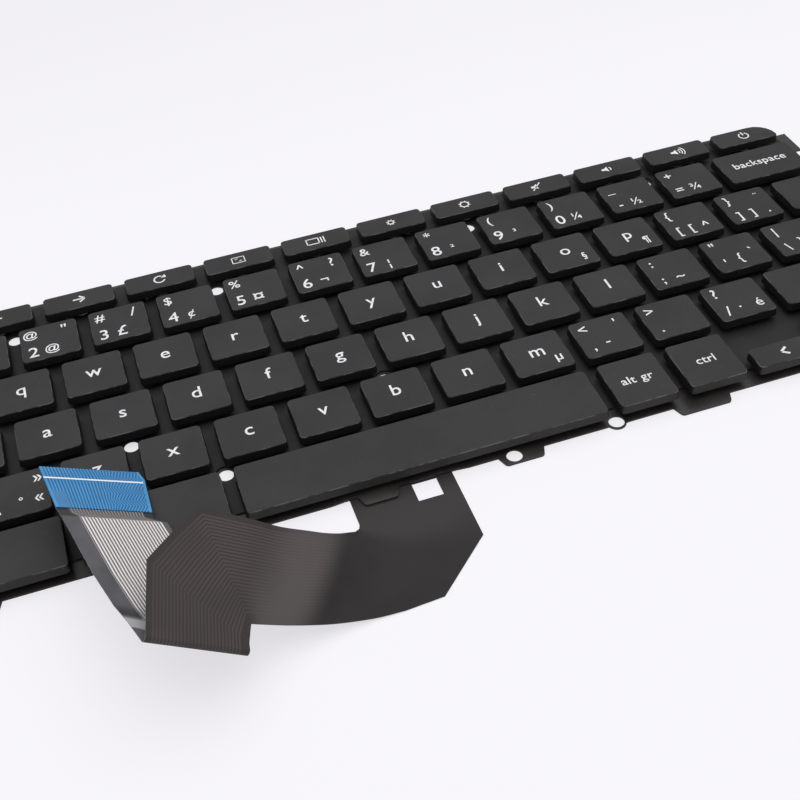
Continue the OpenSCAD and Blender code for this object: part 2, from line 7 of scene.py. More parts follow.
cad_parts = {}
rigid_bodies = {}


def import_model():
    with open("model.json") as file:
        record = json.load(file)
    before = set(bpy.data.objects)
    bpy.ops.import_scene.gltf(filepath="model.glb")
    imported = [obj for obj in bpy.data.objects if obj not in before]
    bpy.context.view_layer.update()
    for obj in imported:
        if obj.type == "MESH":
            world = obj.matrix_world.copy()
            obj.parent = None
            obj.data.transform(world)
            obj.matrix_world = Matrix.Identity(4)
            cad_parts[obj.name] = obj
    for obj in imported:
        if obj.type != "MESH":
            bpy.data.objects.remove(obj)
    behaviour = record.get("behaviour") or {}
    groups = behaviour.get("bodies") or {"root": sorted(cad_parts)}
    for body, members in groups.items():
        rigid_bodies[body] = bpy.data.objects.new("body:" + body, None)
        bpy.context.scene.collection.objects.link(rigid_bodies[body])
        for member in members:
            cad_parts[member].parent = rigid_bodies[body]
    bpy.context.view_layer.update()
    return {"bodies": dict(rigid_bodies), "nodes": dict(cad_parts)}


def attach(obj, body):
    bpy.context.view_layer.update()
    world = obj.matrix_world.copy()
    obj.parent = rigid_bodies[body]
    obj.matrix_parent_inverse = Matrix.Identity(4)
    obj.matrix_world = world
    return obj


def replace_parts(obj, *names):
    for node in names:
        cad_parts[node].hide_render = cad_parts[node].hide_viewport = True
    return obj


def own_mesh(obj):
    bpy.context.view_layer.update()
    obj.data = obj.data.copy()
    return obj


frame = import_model()
MM = 0.001

# Key layout in millimetres. A cap's depth and width tell which dome, scissor and bar it has.
PITCH, ROW, UNITS = 19.0, 18.4, 14.5
FIELD = PITCH * UNITS
CAP_TOP, CAP_BOTTOM, ROOF = 5.0, 2.6, 4.1
CAP_D, BOTTOM_D, ARROW_D, FUNCTION_D = 14.4, 16.0, 7.1, 7.5
HALF_KEY_BELOW, LONG_KEY_ABOVE = 10, 28
SIDE_GAP = 3.5
FILM_TOP = 0.95
FRONT_RIM, BACK_RIM, FUNCTION_STEP = 0.7, 4.4, 14.95
FRONT = -(FRONT_RIM + BOTTOM_D / 2 + 4 * ROW + FUNCTION_STEP + FUNCTION_D / 2 + BACK_RIM) / 2
BOTTOM_Y = FRONT + FRONT_RIM + BOTTOM_D / 2
FUNCTION_Y = BOTTOM_Y + 4 * ROW + FUNCTION_STEP


def unit_x(u):
    return u * PITCH - FIELD / 2


def key_rows():
    """Every key as name: (middle x, middle y, cap width, cap depth)."""
    rows = {
        4: "grave 1 2 3 4 5 6 7 8 9 0 minus equals backspace",
        3: "tab:1.5 q w e r t y u i o p left_bracket right_bracket enter",
        2: "search:1.75 a s d f g h j k l semicolon quote backslash enter_foot",
        1: "left_shift:1.25 guillemet z x c v b n m comma full_stop slash right_shift",
        0: "left_ctrl:2.32 left_alt:1.99 space_bar:4.95 alt_gr:0.99 right_ctrl:0.99 "
           "left_arrow:1.083 down_arrow:1.083 right_arrow",
    }
    keys = {}
    arrow_off = (BOTTOM_D - ARROW_D) / 2
    for row, words in rows.items():
        names = words.split()
        at = 0.0
        for word in names:
            name, _, units = word.partition(":")
            width = UNITS - at if word == names[-1] else float(units or 1)
            depth, y = CAP_D if row else BOTTOM_D, BOTTOM_Y + row * ROW
            if name.endswith("arrow"):
                depth, y = ARROW_D, BOTTOM_Y - arrow_off
            keys[name] = (unit_x(at + width / 2), y, width * PITCH - SIDE_GAP, depth)
            at += width
    x, _, width, depth = keys["down_arrow"]
    keys["up_arrow"] = (x, BOTTOM_Y + arrow_off, width, depth)
    names = "escape back forward refresh full_screen overview dimmer brighter mute quieter louder power".split()
    step = FIELD / len(names)
    for i, name in enumerate(names):
        keys[name] = ((i + 0.5) * step - FIELD / 2, FUNCTION_Y, step - SIDE_GAP, FUNCTION_D)
    return keys


KEYS = key_rows()
JOINTED = [k for k in KEYS if "key_" + k in frame["bodies"]]


def body_of_key(name):
    return "key_" + name if name in JOINTED else "keyboard_base"


def put(name, data):
    """An object in the scene, for a mesh, a curve, a camera or a lamp."""
    made = bpy.data.objects.new(name, data)
    bpy.context.scene.collection.objects.link(made)
    return made


def as_built(holder):
    """An object's mesh with its modifiers applied."""
    return bpy.data.meshes.new_from_object(holder.evaluated_get(bpy.context.evaluated_depsgraph_get()))


# The camera fitted to the photo: a turn vector, a shift in millimetres and a focal length in pixels.
CAMERA_TURN = (2.2858295049014505, -0.39868112512864073, 0.08049195314625793)
CAMERA_SHIFT = (-112.54578934410834, -11.166326163862326, 340.9297967494457)
FIT_ORIGIN = (109.25, -29.5, -5.0)
FOCAL_PIXELS, PHOTO_PIXELS, SENSOR = 1277.0, 800, 36


def make_camera():
    turn = Vector(CAMERA_TURN)
    rotation = Matrix.Rotation(turn.length, 3, turn.normalized())
    place = -(rotation.transposed() @ Vector(CAMERA_SHIFT)) - Vector(FIT_ORIGIN)
    look = rotation.transposed() @ Matrix.Diagonal((1, -1, -1))
    data = bpy.data.cameras.new("camera")
    data.sensor_width = SENSOR
    data.lens = FOCAL_PIXELS / PHOTO_PIXELS * SENSOR
    data.clip_start, data.clip_end = 0.01, 20
    camera = put("camera", data)
    camera.matrix_world = Matrix.Translation(place * MM) @ look.to_4x4()
    bpy.context.scene.camera = camera


make_camera()


class Value:
    """A socket that adds Math nodes when it is used in a Python expression."""

    def __init__(self, tree, socket):
        self.tree, self.socket = tree, socket

    def math(self, operation, *others):
        return self.tree.node("ShaderNodeMath", {"operation": operation}, self, *others)

    def __add__(self, other):
        return self.math("ADD", other)

    def __sub__(self, other):
        return self.math("SUBTRACT", other)

    def __mul__(self, other):
        return self.math("MULTIPLY", other)

    def __truediv__(self, other):
        return self.math("DIVIDE", other)

    def __rsub__(self, other):
        return self.tree.node("ShaderNodeMath", {"operation": "SUBTRACT"}, other, self)

    __radd__ = __add__

    def fract(self):
        return self.math("FRACT")

    def below(self, edge):
        return self.math("LESS_THAN", edge)

    def above(self, edge):
        return self.math("GREATER_THAN", edge)

    def most(self, other):
        return self.math("MAXIMUM", other)

    def distance(self, other):
        return (self - other).math("ABSOLUTE")

    def ramp(self, low, high):
        """0 at low, 1 at high, clamped and smooth between."""
        return self.tree.node("ShaderNodeMapRange", {"interpolation_type": "SMOOTHSTEP"}, self, low, high)


class Finish:
    """A material and the few ways this scene adds nodes to it."""

    def __init__(self, name, **shader):
        self.material = bpy.data.materials.new(name)
        self.material.use_nodes = True
        self.nodes = self.material.node_tree.nodes
        self.links = self.material.node_tree.links
        self.shader = self.nodes["Principled BSDF"]
        for key, value in shader.items():
            self.set(key.replace("_", " "), value)

    def feed(self, socket, value):
        """Links a Value, or sets a plain number or colour."""
        if isinstance(value, Value):
            self.links.new(value.socket, socket)
        else:
            socket.default_value = (*value, 1) if isinstance(value, tuple) else value

    def set(self, name, value):
        self.feed(self.shader.inputs[name], value)

    def node(self, kind, settings=None, *inputs, out=0, **named):
        """A new node's output; inputs are fed by their order or by their name."""
        made = self.nodes.new(kind)
        for key, value in (settings or {}).items():
            setattr(made, key, value)
        for key, value in [*enumerate(inputs), *((k.replace("_", " "), v) for k, v in named.items())]:
            self.feed(made.inputs[key], value)
        return Value(self, made.outputs[out])

    def place(self):
        return self.node("ShaderNodeTexCoord", out="Object")

    def ribbon_uv(self):
        """Across the tail from 0 to 1, and along it in units of 100 mm."""
        return self.axes(self.node("ShaderNodeUVMap", {"uv_map": "ribbon"}))[:2]

    def axes(self, vector):
        made = self.nodes.new("ShaderNodeSeparateXYZ")
        self.links.new(vector.socket, made.inputs[0])
        return [Value(self, made.outputs[i]) for i in range(3)]

    def noise(self, scale, detail):
        spot = self.place()
        return self.node("ShaderNodeTexNoise", out="Fac", Vector=spot, Scale=scale, Detail=detail, Roughness=0.55)

    def mix(self, share, low, high):
        """A colour between low and high."""
        made = self.nodes.new("ShaderNodeMix")
        made.data_type = "RGBA"
        for index, value in ((0, share), (6, low), (7, high)):
            self.feed(made.inputs[index], value)
        return Value(self, made.outputs[2])

    def bump(self, height, strength, distance=0.00003):
        made = self.node("ShaderNodeBump", out="Normal", Strength=strength, Distance=distance, Height=height)
        self.set("Normal", made)


def cloudy(name, scale, low, high, rough, spread, ramp=(0.3, 0.7), detail=2.0, **shader):
    """A finish whose colour and roughness drift softly between two values."""
    f = Finish(name, **shader)
    cloud = f.noise(scale, detail)
    f.set("Base Color", f.mix(cloud.ramp(*ramp), low, high))
    f.set("Roughness", rough + (cloud - 0.5) * spread)
    return f


def key_plastic():
    """Fine matt moulded plastic with a faint grain and dust; its colour also holds painted shade on the walls,
    painted bounce light on the bottom row's front walls and a painted highlight on the top's bevel.
    """
    f = Finish("key_plastic", Specular_IOR_Level=0.16)
    grain = f.noise(5200, 2.0)
    cloud = f.noise(55, 3.0)
    speck = f.noise(1700, 1.0).ramp(0.72, 0.8)
    highlight_patches = f.noise(260, 3.0).ramp(0.42, 0.62)
    _, across, height = f.axes(f.place())
    height = height / MM
    # Painted shade and light: the walls below the top get a dark painted-shade colour, and the bottom row's front
    # walls, which face the open table, get a lighter colour for light bounced from it.
    front_bounce_light = 1 - across.ramp((BOTTOM_Y - 7.9) * MM, (BOTTOM_Y - 7.7) * MM)
    top = height.ramp(CAP_TOP - 0.35, CAP_TOP - 0.2)
    # Painted highlight: a lighter rim on the top's bevel, made patchy by noise.
    rim = height.ramp(CAP_TOP - 0.3, CAP_TOP - 0.2) * (1 - height.ramp(CAP_TOP - 0.06, CAP_TOP - 0.01)) * highlight_patches
    base = f.mix(cloud.ramp(0.3, 0.7), (0.029, 0.0275, 0.0278), (0.037, 0.0355, 0.0358))
    wall = f.mix(front_bounce_light, (0.009, 0.0085, 0.0085), (0.034, 0.032, 0.032))
    base = f.mix(top, wall, base)
    base = f.mix(rim * 0.8, base, (0.15, 0.145, 0.145))
    f.set("Base Color", f.mix(speck * 0.3, base, (0.13, 0.125, 0.12)))
    f.set("Roughness", 0.58 + (grain - 0.5) * 0.14 + (cloud - 0.5) * 0.08)
    f.bump(grain, 0.25)
    return f.material


def legend_ink():
    """White printed characters, slightly uneven."""
    low, high = (0.62, 0.62, 0.63), (0.82, 0.82, 0.83)
    return cloudy("legend_ink", 900, low, high, 0.5, 0.2, (0.3, 0.75), Specular_IOR_Level=0.3).material


def plate_paint():
    """Black coated sheet steel."""
    f = Finish("plate_paint", Specular_IOR_Level=0.35)
    fine = f.noise(2600, 3.0)
    cloud = f.noise(80, 3.0)
    speck = f.noise(1300, 1.0).ramp(0.72, 0.78)
    base = f.mix(cloud.ramp(0.3, 0.7), (0.020, 0.0185, 0.0175), (0.032, 0.0295, 0.028))
    f.set("Base Color", f.mix(speck * 0.3, base, (0.14, 0.13, 0.12)))
    f.set("Roughness", 0.38 + (cloud - 0.5) * 0.2)
    f.bump(fine, 0.2, 0.00004)
    return f.material


def circuit_film(name, low, high, rough):
    """Printed polyester film under the keys."""
    f = cloudy(name, 60, low, high, rough, 0.12, detail=3.0, Specular_IOR_Level=0.22)
    f.bump(f.noise(1800, 2.0), 0.12)
    return f.material


def dome_rubber():
    low, high = (0.44, 0.46, 0.46), (0.56, 0.58, 0.57)
    return cloudy("dome_rubber", 700, low, high, 0.5, 0.2, Specular_IOR_Level=0.4).material


def scissor_plastic():
    low, high = (0.24, 0.24, 0.23), (0.32, 0.32, 0.31)
    return cloudy("scissor_plastic", 500, low, high, 0.35, 0.15, Specular_IOR_Level=0.5).material


def bar_steel():
    low, high = (0.5, 0.5, 0.5), (0.62, 0.62, 0.61)
    return cloudy("bar_steel", 1200, low, high, 0.28, 0.15, Metallic=1.0).material


def film_edge():
    low, high = (0.10, 0.095, 0.095), (0.22, 0.21, 0.21)
    return cloudy("film_edge", 400, low, high, 0.35, 0.1, Specular_IOR_Level=0.5).material


DARK_TRACES, LIGHT_TRACES = 30, 31.0


def tail_dark():
    """The tail's black printed side: traces show through as faint red-brown lines. Its lighter and darker zones
    along the tail are painted sheen: lighter at the root and towards the left, darkest in the flat middle, with a
    brighter painted sheen band where the tail bends.
    """
    f = Finish("tail_dark", Specular_IOR_Level=0.16)
    u, v = f.ribbon_uv()
    cloud = f.noise(45, 3.0)
    fine = f.noise(1500, 2.0)
    patches = f.noise(28, 2.0).ramp(0.25, 0.6)
    line = (u * DARK_TRACES).fract().distance(0.5).ramp(0.12, 0.34)
    slant = v - u * 0.12 + 0.04
    band = u.ramp(0.04, 0.07) * (1 - u.ramp(0.90, 0.93)) * slant.ramp(0.43, 0.51)
    # Painted sheen: root lightens the root end, lit the left part and bend a band where the tail starts to bend,
    # over a darker flat middle.
    root = 1 - (v + (u - 0.5) * 0.12).ramp(0.18, 0.28)
    bend = slant.ramp(0.42, 0.50) * (1 - slant.ramp(0.53, 0.66))
    base = f.mix(cloud.ramp(0.3, 0.7), (0.015, 0.0135, 0.013), (0.022, 0.020, 0.0195))
    base = f.mix(root, base, (0.034, 0.031, 0.031))
    lit = f.mix(slant.ramp(0.44, 0.60), base, (0.042, 0.036, 0.036))
    lit = f.mix(bend * 0.6, lit, (0.105, 0.094, 0.094))
    f.set("Base Color", f.mix(line * band * patches * 0.6, lit, (0.105, 0.078, 0.074)))
    f.set("Roughness", 0.5 + (cloud - 0.5) * 0.16)
    f.bump(fine * 0.4 + line * band * 0.6, 0.12)
    return f.material


def tail_light():
    """The tail's other side: silver traces on grey film, with a bare margin, a painted highlight band just past
    the fold and a darker wedge beyond it.
    """
    f = Finish("tail_light", Specular_IOR_Level=0.3)
    u, v = f.ribbon_uv()
    cloud = f.noise(120, 3.0)
    across = u + v.ramp(*JOG_V) * 0.045
    line = (across * LIGHT_TRACES).fract().distance(0.5).ramp(0.19, 0.27)
    inside = across.ramp(0.165, 0.17) * (1 - across.ramp(0.955, 0.96)) * v.above(FOLD_V)
    jog = v.ramp(JOG_V[0], JOG_V[0] + 0.008) * (1 - v.ramp(JOG_V[1] + 0.008, JOG_V[1] + 0.016))
    near_fold = v - FOLD_V + u * 0.05
    # Painted highlight: a bright band on the film just past the fold.
    fold_highlight = near_fold.ramp(0.055, 0.06) * (1 - near_fold.ramp(0.085, 0.10))
    wedge = near_fold.ramp(0.10, 0.105) * (1 - near_fold.ramp(0.115, 0.15))
    base = f.mix(cloud.ramp(0.3, 0.7), (0.062, 0.060, 0.066), (0.090, 0.087, 0.095))
    base = f.mix(fold_highlight * 0.85, base, (0.42, 0.41, 0.42))
    base = f.mix((wedge * 0.85).most(jog * 0.8), base, (0.012, 0.011, 0.011))
    between = f.mix(inside * (1 - jog * 0.7), base, (0.105, 0.096, 0.096))
    silver = line * inside * (1 - jog * 0.75) * (1 - wedge * 0.5)
    f.set("Base Color", f.mix(silver, between, (0.74, 0.69, 0.68)))
    f.set("Roughness", 0.32 + (cloud - 0.5) * 0.1)
    f.bump(line * inside, 0.2)
    return f.material


def stiffener_blue():
    """Blue stiffener with a white line, and the traces pressed through as fine ribs."""
    f = Finish("stiffener_blue", Specular_IOR_Level=0.45)
    u, v = f.ribbon_uv()
    cloud = f.noise(150, 3.0)
    zigzag = v.math("PINGPONG", 0.022) * 2.2 * u.ramp(0.5, 0.72)
    line = ((u + zigzag) * LIGHT_TRACES).fract().distance(0.5).ramp(0.16, 0.32)
    field = u.ramp(0.02, 0.03) * (1 - u.ramp(0.965, 0.975))
    blank = (1 - u.ramp(0.155, 0.165)) * (1 - v.ramp(BLANK_END_V - 0.004, BLANK_END_V))
    white = (1 - v.distance(WHITE_LINE_V).ramp(0.0022, 0.0032)) * (1 - u.ramp(0.975, 0.98))
    base = f.mix(cloud.ramp(0.3, 0.7), (0.034, 0.25, 0.53), (0.044, 0.30, 0.61))
    base = f.mix(blank * field * 0.6, base, (0.05, 0.13, 0.27))
    ribbed = f.mix(line * field * (1 - blank) * 0.95, base, (0.014, 0.085, 0.22))
    f.set("Base Color", f.mix(white, ribbed, (0.80, 0.82, 0.84)))
    f.set("Roughness", 0.36 + (cloud - 0.5) * 0.12)
    f.bump(line * field, 0.2)
    return f.material


def plain_mesh(name, points, faces, materials=()):
    """A mesh from points in millimetres in the object's frame."""
    mesh = bpy.data.meshes.new(name)
    mesh.from_pydata([tuple(c * MM for c in p) for p in points], [], faces)
    for material in materials:
        mesh.materials.append(material)
    mesh.update()
    return mesh


def place_piece(name, mesh, body, smooth=35):
    """A finished piece; edges sharper than smooth, in degrees, stay sharp."""
    if smooth:
        mesh.polygons.foreach_set("use_smooth", [True] * len(mesh.polygons))
        mesh.set_sharp_from_angle(angle=math.radians(smooth))
    piece = put(name, mesh)
    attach(piece, body)
    return piece


def mesh_piece(name, points, faces, body, slot, material, smooth=35):
    return place_piece(name, plain_mesh(name, points, faces, [material]), body, smooth)


def gather(parts):
    """Joins (points, faces) lists into one."""
    points, faces = [], []
    for more, loops in parts:
        start = len(points)
        points += more
        faces += [tuple(i + start for i in loop) for loop in loops]
    return points, faces


def brick(x0, x1, y0, y1, z0, z1):
    points = [(x, y, z) for z in (z0, z1) for y in (y0, y1) for x in (x0, x1)]
    faces = [(0, 2, 3, 1), (4, 5, 7, 6), (0, 1, 5, 4), (2, 6, 7, 3), (0, 4, 6, 2), (1, 3, 7, 5)]
    return points, faces


def lathe(x, y, profile, steps=20, closed=False):
    """A turned solid from (radius, height) pairs; a zero radius shuts an end."""
    points, faces, rows = [], [], []
    for r, z in profile:
        count = steps if r else 1
        rows.append(range(len(points), len(points) + count))
        turn = [2 * math.pi * k / steps for k in range(count)]
        points += [(x + r * math.cos(a), y + r * math.sin(a), z) for a in turn]
    for low, high in zip(rows, [*rows[1:], rows[0]] if closed else rows[1:]):
        for k in range(steps):
            n = (k + 1) % steps
            quad = [low[k % len(low)], low[n % len(low)], high[n % len(high)], high[k % len(high)]]
            loop = tuple(dict.fromkeys(quad))
            if len(loop) > 2:
                faces.append(loop)
    return points, faces


# Keycaps: corner radii, wall, draft of the sides, bevel of the top and the lip under the wall.
CAP_R, END_R, CAP_WALL, DRAFT, BEVEL, LIP = 1.1, 6.5, 0.8, 0.3, 0.24, 0.06
LEAST_R, CORNER_STEPS, BEVEL_STEPS = 0.12, 6, 4


def corner(c, inset):
    """One corner's points: (x, y, way in along x, way in along y, radius), moved in by inset."""
    x, y, inx, iny, r = c
    if not r:
        return [(x + inx * inset, y + iny * inset)]
    start = {(1, 1): 180, (-1, 1): 270, (-1, -1): 0, (1, -1): 90}[inx, iny]
    r = max(r - inset, LEAST_R)
    turn = [math.radians(start + 90 * k / (CORNER_STEPS - 1)) for k in range(CORNER_STEPS)]
    return [(x + inx * (inset + r) + r * math.cos(a), y + iny * (inset + r) + r * math.sin(a)) for a in turn]


def cap_rings():
    """(inset, height) of each ring, from the roof inside to the bevelled top."""
    rings = [(CAP_WALL, ROOF), (CAP_WALL - DRAFT, CAP_BOTTOM)]
    rings += [(LIP - DRAFT, CAP_BOTTOM), (-DRAFT, CAP_BOTTOM + LIP)]
    for k in range(BEVEL_STEPS + 1):
        a = math.radians(90 * k / BEVEL_STEPS)
        rings.append((BEVEL * (1 - math.cos(a)), CAP_TOP - BEVEL + BEVEL * math.sin(a)))
    return rings


def cap_shell(outline):
    points, rows = [], []
    for inset, z in cap_rings():
        ring = [p for c in outline for p in corner(c, inset)]
        rows.append(range(len(points), len(points) + len(ring)))
        points += [(x, y, z) for x, y in ring]
    faces = []
    for low, high in zip(rows, rows[1:]):
        n = len(low)
        faces += [(low[i], low[(i + 1) % n], high[(i + 1) % n], high[i]) for i in range(n)]
    faces.append(tuple(reversed(rows[0])))
    faces.append(tuple(rows[-1]))
    return points, faces


def box_outline(x, y, w, d, back_left, back_right):
    return [
        (x - w / 2, y - d / 2, 1, 1, CAP_R),
        (x + w / 2, y - d / 2, -1, 1, CAP_R),
        (x + w / 2, y + d / 2, -1, -1, back_right),
        (x - w / 2, y + d / 2, 1, -1, back_left),
    ]


def cap_outline(name):
    """A cap's corners; enter has six, and the two end keys have one round back corner each."""
    if name != "enter":
        left, right = (END_R if name == end else CAP_R for end in ("escape", "power"))
        return box_outline(*KEYS[name], left, right)
    x, y, w, d = KEYS["enter"]
    fx, fy, fw, fd = KEYS["enter_foot"]
    return [
        (fx - fw / 2, fy - fd / 2, 1, 1, CAP_R),
        (x + w / 2, fy - fd / 2, -1, 1, CAP_R),
        (x + w / 2, y + d / 2, -1, -1, CAP_R),
        (x - w / 2, y + d / 2, 1, -1, CAP_R),
        (x - w / 2, y - d / 2, 1, 1, CAP_R),
        (fx - fw / 2, y - d / 2, 1, 1, 0),
    ]


# Scissors: axle to axle of each frame, their rise and the height of their middle pivot.
OUTER_REACH, INNER_REACH, RISE, SCISSOR_Z = 9.6, 7.0, 2.0, 2.5
OUTER_TILT, INNER_TILT = math.asin(RISE / OUTER_REACH), math.asin(RISE / INNER_REACH)
OUTER_HALF, INNER_HALF = OUTER_REACH / 2 * math.cos(OUTER_TILT), INNER_REACH / 2 * math.cos(INNER_TILT)
SPACE_BAR_SPREAD = 34
FIN_SLACK, FIN_T, FIN_LOW, BOSS_LOW, SEAT_TOP = 0.75, 0.35, 3.55, 3.45, ROOF + 0.02


def stations(name):
    """Where a key's scissors stand: one, or two under the space bar."""
    x, y = KEYS[name][:2]
    return [(x - SPACE_BAR_SPREAD, y), (x + SPACE_BAR_SPREAD, y)] if name == "space_bar" else [(x, y)]


def is_half(name):
    return KEYS[name][3] < HALF_KEY_BELOW


def cap_seats(name):
    """The fins that hold the scissor's axles, and the boss over the dome."""
    x, y = KEYS[name][:2]
    half = is_half(name)
    face = -1 if x < 0 else 1
    wide, boss_r = (0.25, 1.0) if half else (1.0, 1.4)
    parts = []
    for sx, sy in stations(name):
        for along in (-INNER_HALF, OUTER_HALF):
            for s in (-1, 1):
                p = along + s * (FIN_SLACK + FIN_T / 2)
                fx, fy, dx, dy = (sx - face * p, sy, FIN_T / 2, wide) if half else (sx, sy + p, wide, FIN_T / 2)
                parts.append(brick(fx - dx, fx + dx, fy - dy, fy + dy, FIN_LOW, SEAT_TOP))
    parts.append(lathe(x, y, [(0, BOSS_LOW), (boss_r, BOSS_LOW), (boss_r, SEAT_TOP), (0, SEAT_TOP)]))
    return parts


PLASTIC, INK, PAINT = key_plastic(), legend_ink(), plate_paint()
DOME, SCISSOR, STEEL = dome_rubber(), scissor_plastic(), bar_steel()


def make_caps():
    for name in KEYS:
        if name == "enter_foot":
            continue
        points, faces = gather([cap_shell(cap_outline(name)), *cap_seats(name)])
        cap = mesh_piece("cap_" + name, points, faces, body_of_key(name), "key_black", PLASTIC)
        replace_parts(cap, "key_" + name if name in JOINTED else "border_keycaps")


make_caps()


# Characters: their places on a cap, and their heights in millimetres.
TL, TR, BL, BM = (-4.8, 4.1), (4.3, 3.7), (-4.6, -3.5), (0.4, -3.4)
SMALL, LETTER, WORD, LONG_WORD, ESCAPE_WORD = 4.6, 5.8, 3.75, 4.05, 2.9
LEGENDS = {
    "grave": [("/", *TL), ("#", *BL), ("|", *BM)],
    "1": [("!", *TL), ("1", *BL), ("±", *BM)],
    "2": [("@", *TL), ('"', *TR), ("2", *BL), ("@", *BM)],
    "3": [("#", *TL), ("/", *TR), ("3", *BL), ("£", *BM)],
    "4": [("$", *TL), ("4", *BL), ("¢", *BM)],
    "5": [("%", *TL), ("5", *BL), ("¤", *BM)],
    "6": [("^", *TL), ("?", *TR), ("6", *BL), ("¬", *BM)],
    "7": [("&", *TL), ("7", *BL), ("¦", *BM)],
    "8": [("*", *TL), ("8", *BL), ("²", *BM)],
    "9": [("(", *TL), ("9", *BL), ("³", *BM)],
    "0": [(")", *TL), ("0", *BL), ("¼", *BM)],
    "minus": [("_", *TL), ("-", *BL), ("½", *BM)],
    "equals": [("+", *TL), ("=", *BL), ("¾", *BM)],
    "backspace": [("backspace", 0, 0.3)],
    "tab": [("tab", 0, 0)],
    "left_bracket": [("{", *TL), ("[", *BL), ("[", -0.7, -3.4), ("^", 3.6, -3.4)],
    "right_bracket": [("}", *TL), ("¨", *TR), ("]", -4.8, -3.5), ("]", -0.6, -3.4), ("¸", 4.2, -3.4)],
    "semicolon": [(":", *TL), (";", *BL), ("~", *BM)],
    "quote": [('"', *TL), ("'", *BL), ("{", 0.0, -2.4), ("`", 4.2, -0.6)],
    "backslash": [("|", *TL), ("\\", *BL), ("}", 0.0, -2.4), ("`", 4.2, -0.6)],
    "left_shift": [("shift", 0, 0)],
    "guillemet": [("»", 5.4, 4.4), ("«", 5.2, -2.3), ("\\", *BL), ("°", 0.9, -2.6)],
    "comma": [("<", *TL), ("'", *TR), (",", -4.6, -3.0), ("-", -0.5, -2.2)],
    "full_stop": [(">", *TL), (".", -4.6, -3.0)],
    "slash": [("?", *TL), ("/", *BL), ("·", -0.9, -3.0), ("é", 4.6, -3.3)],
    "right_shift": [("shift", 0, 0)],
    "left_ctrl": [("ctrl", 0, 0)],
    "left_alt": [("alt", -6.5, 0)],
    "alt_gr": [("alt gr", 0, 0)],
    "right_ctrl": [("ctrl", 0, 0)],
}
for letter in "qwertyuiopasdfghjklzxcvbnm":
    LEGENDS[letter] = [(letter, 0, 0.4)]
LEGENDS["z"] = [("z", 0.6, 1.1)]
LEGENDS["o"].append(("§", 4.2, -3.2))
LEGENDS["p"].append(("¶", 4.2, -3.2))
LEGENDS["m"].append(("µ", 4.6, -3.2))

CHARACTER_SIZES = {
    "@": 0.88, "£": 1.22, "?": 1.15, "¤": 1.3, "/": 1.15, '"': 1.12,
    **dict.fromkeys("¼½¾", 0.95), **dict.fromkeys("²³§¶¨¸°", 0.75),
}
INK_LOW, INK_HIGH = CAP_TOP - 0.01, CAP_TOP + 0.012
glyph_store = {}


def glyph(text, size):
    """A string's flat outline as (points, faces)."""
    if (text, size) not in glyph_store:
        curve = bpy.data.curves.new("glyph", "FONT")
        curve.body, curve.size, curve.resolution_u = text, size, 4
        curve.extrude, curve.offset = (INK_HIGH - INK_LOW) / 2, 0.035
        curve.space_character, curve.space_word = 1.04, 1.3
        holder = put("glyph", curve)
        mesh = as_built(holder)
        points = [tuple(v.co) for v in mesh.vertices]
        faces = [tuple(p.vertices) for p in mesh.polygons]
        bpy.data.objects.remove(holder)
        bpy.data.curves.remove(curve)
        bpy.data.meshes.remove(mesh)
        glyph_store[text, size] = points, faces
    return glyph_store[text, size]


def set_glyph(text, size, x, y):
    """A string with its middle at (x, y), up and down by its small letters or its capitals."""
    points, faces = glyph(text, size)
    wide = [p[0] for p in points]
    mx = (min(wide) + max(wide)) / 2
    small_letters = len(text) > 1 or (text.isalpha() and text.islower())
    my = (0.27 if small_letters else 0.36) * size
    z = (INK_LOW + INK_HIGH) / 2
    return [(p[0] - mx + x, p[1] - my + y, p[2] + z) for p in points], faces


def slab(outline):
    """A flat printed shape from a closed outline of (x, y) points."""
    n = len(outline)
    points = [(x, y, z) for z in (INK_LOW, INK_HIGH) for x, y in outline]
    faces = [tuple(range(n - 1, -1, -1)), tuple(range(n, 2 * n))]
    faces += [(i, (i + 1) % n, n + (i + 1) % n, n + i) for i in range(n)]
    return points, faces


def stroke(a, b, w=0.32):
    (ax, ay), (bx, by) = a, b
    sx, sy = Vector((ay - by, bx - ax)).normalized() * w / 2
    return slab([(ax - sx, ay - sy), (bx - sx, by - sy), (bx + sx, by + sy), (ax + sx, ay + sy)])


def arc(x, y, r, start, end, w=0.32, steps=18):
    """A part of a ring, from start to end degrees."""
    parts = []
    at = [math.radians(start + (end - start) * k / steps) for k in range(steps + 1)]
    for a, b in zip(at, at[1:]):
        loop = ((r - w / 2, a), (r + w / 2, a), (r + w / 2, b), (r - w / 2, b))
        parts.append(slab([(x + reach * math.cos(t), y + reach * math.sin(t)) for reach, t in loop]))
    return gather(parts)


